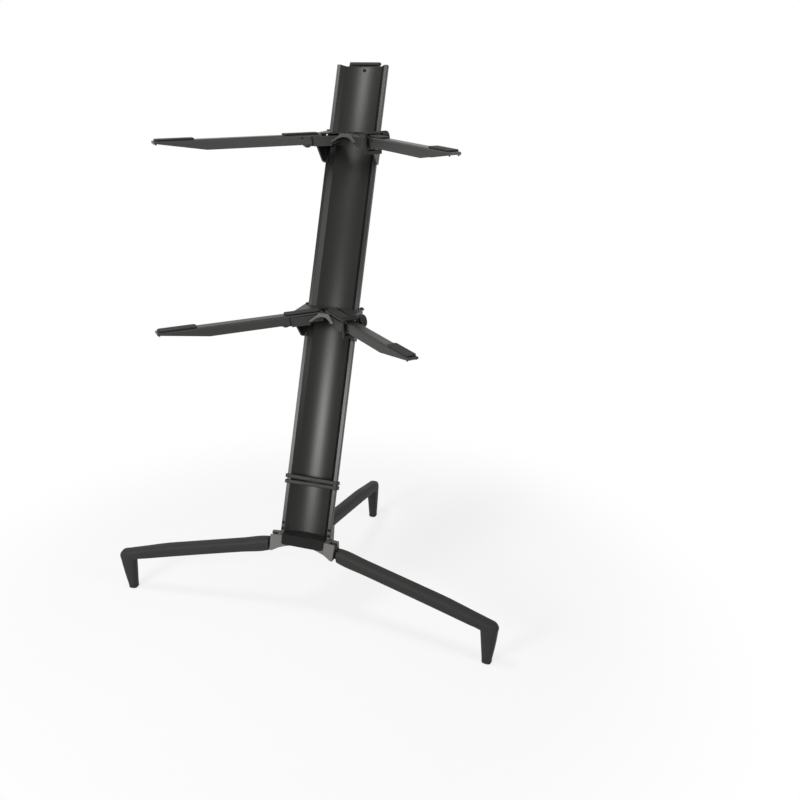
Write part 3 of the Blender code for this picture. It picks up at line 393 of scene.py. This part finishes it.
screw_black = powder_coat("screw_black", (0.003, 0.003, 0.003), (0.006, 0.006, 0.006),
                          0.50, 0.0, 0.0006, 0.0004, specular=0.12)
blackened_steel = powder_coat("blackened_steel", (0.030, 0.030, 0.029), (0.060, 0.059, 0.058),
                              0.34, 1.0, 0.0016)
dress(rubber("bumper_rubber", (0.010, 0.010, 0.010), (0.020, 0.020, 0.019)), "top_bumper")
for label, side in SIDES.items():
    for number, rise in enumerate(FLANGE_SCREW_RISES, 1):
        spot = COLUMN_FRAME @ Matrix.Translation((side * FLANGE_MIDDLE, -SEAT, rise)) @ OUT_FRONT
        socket_screw(f"column_screw_{label}_{number}", spot, 0.0038, 0.0020, 0.0016, 0.012,
                     screw_black)
spot = COLUMN_FRAME @ Matrix.Translation((0.0, CHANNEL_DEPTH - SEAT, TOP_SCREW_RISE)) @ OUT_FRONT
socket_screw("top_screw", spot, 0.0045, 0.0020, 0.0020, 0.0066, screw_black)

# Rubber bands. Two loops of black rubber stretched round the column to hold cables. Each one
# pulls straight across the open channel and lies a little crooked.
BAND_CORNERS = np.array([
    (-COLUMN_HALF, 0.0), (COLUMN_HALF, 0.0), (COLUMN_HALF, 0.0105), (0.0720, 0.0120),
    (0.0290, 0.0212), (0.0145, 0.0235), (0.0, 0.0243), (-0.0145, 0.0235), (-0.0290, 0.0212),
    (-0.0720, 0.0120), (-COLUMN_HALF, 0.0105),
])
BAND_THICK = 0.0048
BAND_HIGH = 0.0105
BAND_STEPS = 120
BAND_SIDES = 20
band_rubber = rubber("band_rubber", (0.008, 0.008, 0.008), (0.016, 0.016, 0.015), 0.55)


def stretched_band(node, height, crooked):
    """Band round the column: at each direction its middle line is the hull corner that lies
    furthest that way, plus SEAT and half the band's thickness that way. Its section is a
    rounded rectangle |x|^3 + |y|^3 = 1, and its height drifts by crooked along x."""
    way = np.linspace(0.0, 2 * math.pi, BAND_STEPS, endpoint=False)
    outward = np.stack([np.cos(way), np.sin(way)], -1)
    furthest = BAND_CORNERS[np.argmax(outward @ BAND_CORNERS.T, 1)]
    around = np.linspace(0.0, 2 * math.pi, BAND_SIDES, endpoint=False)
    across = signed_power(np.cos(around), 2 / 3) * BAND_THICK / 2
    upward = signed_power(np.sin(around), 2 / 3) * BAND_HIGH / 2
    away = (SEAT + BAND_THICK / 2 + across)[None, :, None]
    flat = furthest[:, None, :] + outward[:, None, :] * away
    drift = crooked * flat[..., :1] / COLUMN_HALF
    rings = np.concatenate([flat, height + drift + upward[None, :, None]], -1)
    band = skinned(f"{node}_stretched", placed(rings, COLUMN_FRAME), band_rubber, looped=True)
    stands_for(band, node)


stretched_band("rubber_band_1", 0.144, 0.0006)
stretched_band("rubber_band_2", 0.158, -0.0008)

# Foot casting and its front plate. Aluminium casting in satin grey with three forked wings,
# and a black pressed plate across its front.
dress(powder_coat("grey_casting", (0.070, 0.068, 0.066), (0.095, 0.092, 0.089), 0.46, 0.25,
                  0.0012), "hub_casting")
plate_black = powder_coat("plate_black", (0.0035, 0.0035, 0.0035), (0.0055, 0.0055, 0.0055),
                          0.55, 0.0, specular=0.12)
PLATE_HALF = 0.061
PLATE_TOP = -0.0010
PLATE_LOW = -0.029
PLATE_CORNER = 0.007
PLATE_FRONT = -0.0170
PLATE_BACK = -0.0140
PLATE_EDGE = 0.0005


def pressed(outline, levels, inset, up_axis):
    """Plate from a flat outline: four rings at the given levels, the outer two drawn towards
    the outline's mean by inset, so that the edges are broken. up_axis is the levels' axis."""
    way = outline - outline.mean(0)
    way /= np.linalg.norm(way, axis=1, keepdims=True)
    drawn_in = np.array([1.0, 0.0, 0.0, 1.0]) * inset
    flat = outline[None] - way[None] * drawn_in[:, None, None]
    level = np.asarray(levels)[:, None, None] * np.ones((1, len(outline), 1))
    parts = [flat[..., :1], flat[..., 1:]]
    parts.insert(up_axis, level)
    return np.concatenate(parts, -1)


bend = np.radians(np.linspace(0.0, 90.0, 8))
corner = np.stack([PLATE_HALF - PLATE_CORNER * (1 - np.cos(bend)),
                   PLATE_LOW + PLATE_CORNER * (1 - np.sin(bend))], -1)
half_outline = np.concatenate([[(PLATE_HALF, PLATE_TOP)], corner])
outline = np.concatenate([half_outline, half_outline[::-1] * (-1.0, 1.0)])
levels = [PLATE_FRONT, PLATE_FRONT + PLATE_EDGE, PLATE_BACK - PLATE_EDGE, PLATE_BACK]
rings = pressed(outline, levels, PLATE_EDGE, 1)
plate = skinned("front_plate_pressed", placed(rings, COLUMN_FRAME), plate_black)
stands_for(plate, "front_plate")

# Fold of the front plate. Its top edge is bent back into the column's channel, nearly level,
# and follows the channel's curve.
CHANNEL_RADIUS = 0.1400
FOLD_REACH = 0.0525  # half the width that follows the curve
FOLD_DEEP = 0.0206
FOLD_SHOULDER = 0.0018
FOLD_THICK = 0.003
FOLD_EDGE = 0.0004
FOLD_SLOPE = math.tan(LEAN) * 0.70
turn = np.arcsin(np.linspace(FOLD_REACH, -FOLD_REACH, 25) / CHANNEL_RADIUS)
curve = np.stack([CHANNEL_RADIUS * np.sin(turn),
                  FOLD_DEEP - CHANNEL_RADIUS * (1 - np.cos(turn))], -1)
outline = np.concatenate([[(-PLATE_HALF, PLATE_BACK), (PLATE_HALF, PLATE_BACK),
                           (PLATE_HALF, FOLD_SHOULDER)], curve, [(-PLATE_HALF, FOLD_SHOULDER)]])
floor_level = PLATE_TOP - FOLD_THICK
levels = [floor_level, floor_level + FOLD_EDGE, PLATE_TOP - FOLD_EDGE, PLATE_TOP]
rings = pressed(outline, levels, FOLD_EDGE, 2)
rings[..., 2] += FOLD_SLOPE * (rings[..., 1] - PLATE_BACK)
fold = skinned("front_plate_fold", placed(rings, COLUMN_FRAME), moulded_black)
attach(fold, "stand")

# Legs. Three moulded legs in satin black, each on a tongue that turns on its hinge pin, with a
# rubber tip pushed on the foot.
LEG_TURNS = {"left": math.radians(-172.7), "right": math.radians(-7.3),
             "rear": math.radians(90.0)}
PIN_REACH = 0.088
PIN_HEIGHT = 0.2255
LEG_HALF = 0.018
LEG_EDGES = np.array([
    # reach and height of the upper or outer edge, the same of the lower or inner edge, and
    # half-width as a share of LEG_HALF
    (0.1030, 0.2178, 0.1030, 0.1862, 0.93),
    (0.1042, 0.2190, 0.1040, 0.1845, 1.00),
    (0.1100, 0.2190, 0.1090, 0.1825, 1.00),
    (0.1850, 0.2048, 0.1850, 0.1680, 1.00),
    (0.2650, 0.1893, 0.2620, 0.1530, 1.00),
    (0.3450, 0.1738, 0.3400, 0.1375, 1.00),
    (0.4240, 0.1580, 0.4170, 0.1220, 1.00),
    (0.5000, 0.1385, 0.4850, 0.1080, 0.98),
    (0.5400, 0.1285, 0.5120, 0.1028, 0.96),
    (0.5580, 0.1236, 0.5188, 0.0995, 0.94),
    (0.5648, 0.1140, 0.5196, 0.0900, 0.92),
    (0.5635, 0.0960, 0.5208, 0.0740, 0.88),
    (0.5588, 0.0550, 0.5230, 0.0450, 0.78),
    (0.5512, 0.0082, 0.5258, 0.0082, 0.66),
])
LEG_STEPS = 110
LEG_SIDES = 48
SQUARENESS = 0.66  # 1 gives an ellipse, less a fuller section
TONGUE_RADIUS = 0.009
TONGUE_HALF = 0.0065
TONGUE_EDGE = 0.0005
TONGUE_ROOT = [(0.001, -0.0285), (0.011, -0.0365), (0.035, -0.0365), (0.035, -0.0105),
               (0.013, -0.0085)]
TIP_LEVELS = np.array([
    # height, and size as a share of the foot's
    (0.0, 0.84), (0.0004, 0.92), (0.0016, 0.99), (0.0030, 1.01), (0.0050, 1.02),
    (0.0074, 1.02), (0.0077, 0.99),
])
satin_leg = powder_coat("satin_leg", (0.032, 0.0315, 0.031), (0.048, 0.047, 0.046), 0.56, 0.15,
                        0.0013, specular=0.06)
tip_rubber = rubber("tip_rubber", (0.009, 0.009, 0.009), (0.018, 0.018, 0.017))


def eased(rows, steps):
    """Rows joined by a smooth curve through each of them: between rows a and b it is
    (2t^3 - 3t^2 + 1) a + (t^3 - 2t^2 + t) slope_a + (3t^2 - 2t^3) b + (t^3 - t^2) slope_b,
    where t goes from 0 to 1 and a slope is the rows' gradient along the path times the
    length from a to b. A path's length is taken over reach and height of both edges."""
    reach = np.linalg.norm(np.diff(rows[:, :4], axis=0), axis=1)
    knot = np.concatenate([[0.0], np.cumsum(reach)])
    slope = np.gradient(rows, knot, axis=0)
    at = np.unique(np.concatenate([np.linspace(0.0, knot[-1], steps), knot]))
    low = np.clip(np.searchsorted(knot, at, "right") - 1, 0, len(rows) - 2)
    span = (knot[low + 1] - knot[low])[:, None]
    t = (at[:, None] - knot[low][:, None]) / span
    near = (2 * t ** 3 - 3 * t ** 2 + 1) * rows[low]
    near += (t ** 3 - 2 * t ** 2 + t) * span * slope[low]
    far = (3 * t ** 2 - 2 * t ** 3) * rows[low + 1] + (t ** 3 - t ** 2) * span * slope[low + 1]
    return near + far


def section_rings(rows):
    """Rounded four-sided rings between an upper and a lower edge: middle + up half-height
    cos(a)^p + across half-width sin(a)^p, with the sign of cosine and sine kept."""
    angle = np.linspace(0.0, 2 * math.pi, LEG_SIDES, endpoint=False)
    up = signed_power(np.cos(angle), SQUARENESS)
    across = signed_power(np.sin(angle), SQUARENESS)
    middle = (rows[:, :2] + rows[:, 2:4]) / 2 - (PIN_REACH, PIN_HEIGHT)
    half = (rows[:, :2] - rows[:, 2:4]) / 2
    reach = middle[:, :1] + half[:, :1] * up
    height = middle[:, 1:] + half[:, 1:] * up
    return np.stack([reach, rows[:, 4:] * LEG_HALF * across, height], -1)


def flat_tongue():
    """Tongue of a leg: a round end about the pin, joined to a root inside the leg. Its outer
    rings are 0.96 of the outline's size, so that the edges are broken. It has no bore, so the
    hinge pin runs through it."""
    turn = np.radians(np.linspace(60.0, 200.0, 22))
    round_end = TONGUE_RADIUS * np.stack([np.cos(turn), np.sin(turn)], -1)
    outline = np.concatenate([round_end, TONGUE_ROOT])
    middle = outline.mean(0)
    shrink = np.array([0.96, 1.0, 1.0, 0.96])[:, None, None]
    flat = middle + (outline - middle)[None] * shrink
    inner = TONGUE_HALF - TONGUE_EDGE
    levels = np.array([-TONGUE_HALF, -inner, inner, TONGUE_HALF])[:, None, None]
    depth = levels * np.ones((1, len(outline), 1))
    return np.concatenate([flat[..., :1], depth, flat[..., 1:]], -1)


for leg, turn in LEG_TURNS.items():
    hinge = Matrix.Rotation(turn, 4, "Z") @ Matrix.Translation((PIN_REACH, 0.0, PIN_HEIGHT))
    rings = section_rings(eased(LEG_EDGES, LEG_STEPS))
    body = skinned(f"{leg}_leg_cast", placed(rings, hinge), satin_leg)
    stands_for(body, f"{leg}_leg")
    tongue = skinned(f"{leg}_leg_tongue", placed(flat_tongue(), hinge), satin_leg)
    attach(tongue, f"{leg}_leg")
    foot = np.repeat(LEG_EDGES[-1:], len(TIP_LEVELS), 0)
    foot[:, [1, 3]] = TIP_LEVELS[:, :1]
    share = TIP_LEVELS[:, 1:]
    middle = foot[:, [0, 2]].mean(1, keepdims=True)
    foot[:, [0, 2]] = middle + (foot[:, [0, 2]] - middle) * share
    foot[:, 4:] *= share
    tip = skinned(f"{leg}_leg_tip_moulded", placed(section_rings(foot), hinge), tip_rubber)
    stands_for(tip, f"{leg}_leg_tip")
dress(blackened_steel, *[f"{leg}_leg_pin" for leg in LEG_TURNS])

# Carriers. Aluminium castings, black powder coated, that slide on the column and hold the
# arms, with moulded hooks and shoes that grip its flanges.
TIERS = {"lower": 0.820, "upper": 1.264}
dress(powder_coat("black_carrier", (0.024, 0.0235, 0.023), (0.038, 0.037, 0.036), 0.44, 0.40),
      *[f"{tier}_carrier" for tier in TIERS])
for part in ("hook", "shoe"):
    dress(moulded_black, *[f"{tier}_{part}_{side}" for tier in TIERS for side in SIDES])

# Arms. Extruded aluminium channels, dark anodised, with a rubber pad glued on at each end and
# two small moulded studs under the tip. Each turns on a steel pin and slides on a moulded block.
ARM_HALF = 0.0155
ARM_POSES = {
    # swing in degrees, and reach of the arm's tip from its swing pin
    "lower_left": (46.0, 0.3375), "lower_right": (48.0, 0.3180),
    "upper_left": (45.0, 0.4040), "upper_right": (46.0, 0.4100),
}
SWING_SIDE = 0.093
SWING_FRONT = 0.106
SWING_PIN_DROP = 0.0309
PAD_SCREW_BACK = 0.3845
PAD_SCREW_DROP = 0.0085
STUD_ROOT = -0.0070
STUD_PLACES = ((-0.0118, 0.0050), (0.0118, 0.0050))
pad_rubber = rubber("pad_rubber", (0.012, 0.012, 0.011), (0.022, 0.022, 0.021), 0.80, 0.0012)
bead = np.radians(np.linspace(0.0, 75.0, 6))
stud_radii = np.concatenate([[0.0019, 0.0019], 0.0022 * np.cos(bead)])
stud_heights = STUD_ROOT + np.concatenate([[0.0, -0.0012], -0.0018 - 0.0016 * np.sin(bead)])
around = np.linspace(0.0, 2 * math.pi, 24, endpoint=False)
swing_frames = {}
for tier, height in TIERS.items():
    column_front = COLUMN_FOOT.y + (height - COLUMN_FOOT.z) * math.tan(LEAN)
    for label, side in SIDES.items():
        arm = f"{tier}_{label}"
        angle, reach = ARM_POSES[arm]
        swung = math.radians(side * angle)
        pin = Vector((side * SWING_SIDE, column_front - SWING_FRONT, height))
        swing = Matrix.Translation(pin) @ Matrix.Rotation(swung, 4, "Z")
        swing_frames[arm] = swing
        arm_frame = swing @ Matrix.Translation((0.0, -reach, 0.0))
        dress(drawn_metal(f"dark_anodised_{arm}", (math.radians(90.0), 0.0, swung),
                          (0.042, 0.041, 0.040), (0.062, 0.061, 0.058), 0.40), f"{arm}_arm")
        dress(pad_rubber, f"{arm}_tip_pad", f"{arm}_root_pad")
        dress(moulded_black, f"{arm}_swing_block")
        spot = Matrix.Translation((-side * (ARM_HALF + SEAT), PAD_SCREW_BACK, -PAD_SCREW_DROP))
        spot = arm_frame @ spot @ Matrix.Rotation(math.radians(-side * 90.0), 4, "Y")
        socket_screw(f"{arm}_pad_screw", spot, 0.0025, 0.0013, 0.0016, 0.0029, screw_black)
        spot = Matrix.Translation((0.0, 0.0, -SWING_PIN_DROP)) @ Matrix.Rotation(math.pi, 4, "X")
        socket_screw(f"{arm}_swing_pin", swing @ spot, 0.0075, 0.0040, 0.0040, 0.0184,
                     blackened_steel)
        for number, (x, y) in enumerate(STUD_PLACES, 1):
            rings = np.stack([x + stud_radii[:, None] * np.cos(around),
                              y + stud_radii[:, None] * np.sin(around),
                              stud_heights[:, None] + 0.0 * around], -1)
            stud = skinned(f"{arm}_tip_stud_{number}", placed(rings, arm_frame), moulded_black)
            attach(stud, f"{arm}_arm")

# Clamps. A moulded loop with a cap round each right arm, tightened by a fluted knob on its
# outer side.
KNOB_RADIUS = 0.017
KNOB_THICK = 0.018
KNOB_START = 0.0236
KNOB_DROP = 0.0045
FLUTES = 18
FLUTE_DEPTH = 0.075
CAP_HALF = (0.0205, 0.0065)
CAP_CORNER = 0.0030
CAP_LEVELS = [0.0050, 0.0056, 0.0096, 0.0103]
CAP_INSET = 0.0007


def fluted_knob(node, own_frame):
    """Knob turned about x: radius from a profile of face, rounded rim and skirt, cut by flutes
    1 - depth (1/2 + 1/2 cos(flutes a))^3 that fade out on the face and on the skirt."""
    around = np.linspace(0.0, 2 * math.pi, FLUTES * 12, endpoint=False)
    rim = np.radians(np.linspace(0.0, 90.0, 8))
    radii = np.concatenate([[0.55, 0.80, 0.86], 0.90 + 0.10 * np.sin(rim), [1.0, 1.0],
                            0.88 + 0.12 * np.cos(rim), [0.62, 0.58, 0.52, 0.30]])
    along = np.concatenate([[0.0, 0.0, 0.02], 0.06 + 0.14 * (1 - np.cos(rim)), [0.40, 0.70],
                            0.78 + 0.20 * np.sin(rim), [0.98, 0.94, 0.92, 0.92]])
    cut = np.concatenate([[0.0, 0.0, 0.0], np.sin(rim) ** 2, [1.0, 1.0], np.cos(rim) ** 2,
                          [0.0, 0.0, 0.0, 0.0]])
    flute = 1 - FLUTE_DEPTH * cut[:, None] * (0.5 + 0.5 * np.cos(FLUTES * around)) ** 3
    radius = radii[:, None] * KNOB_RADIUS * flute
    rings = np.stack([KNOB_START + along[:, None] * KNOB_THICK + 0.0 * around,
                      radius * np.cos(around), radius * np.sin(around) - KNOB_DROP], -1)
    knob = skinned(f"{node}_fluted", placed(rings, own_frame), moulded_black, flat_above=50.0)
    stands_for(knob, node)


turn = np.linspace(0.0, 2 * math.pi, 48, endpoint=False)
round_corner = np.stack([np.cos(turn), np.sin(turn)], -1)
cap_outline = np.sign(round_corner) * CAP_HALF + CAP_CORNER * round_corner
for tier in TIERS:
    swing = swing_frames[f"{tier}_right"]
    dress(moulded_black, f"{tier}_right_loop")
    rings = pressed(cap_outline, CAP_LEVELS, CAP_INSET, 2)
    cap = skinned(f"{tier}_right_loop_cap", placed(rings, swing), moulded_black)
    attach(cap, f"{tier}_right_swing")
    fluted_knob(f"{tier}_right_knob", swing)
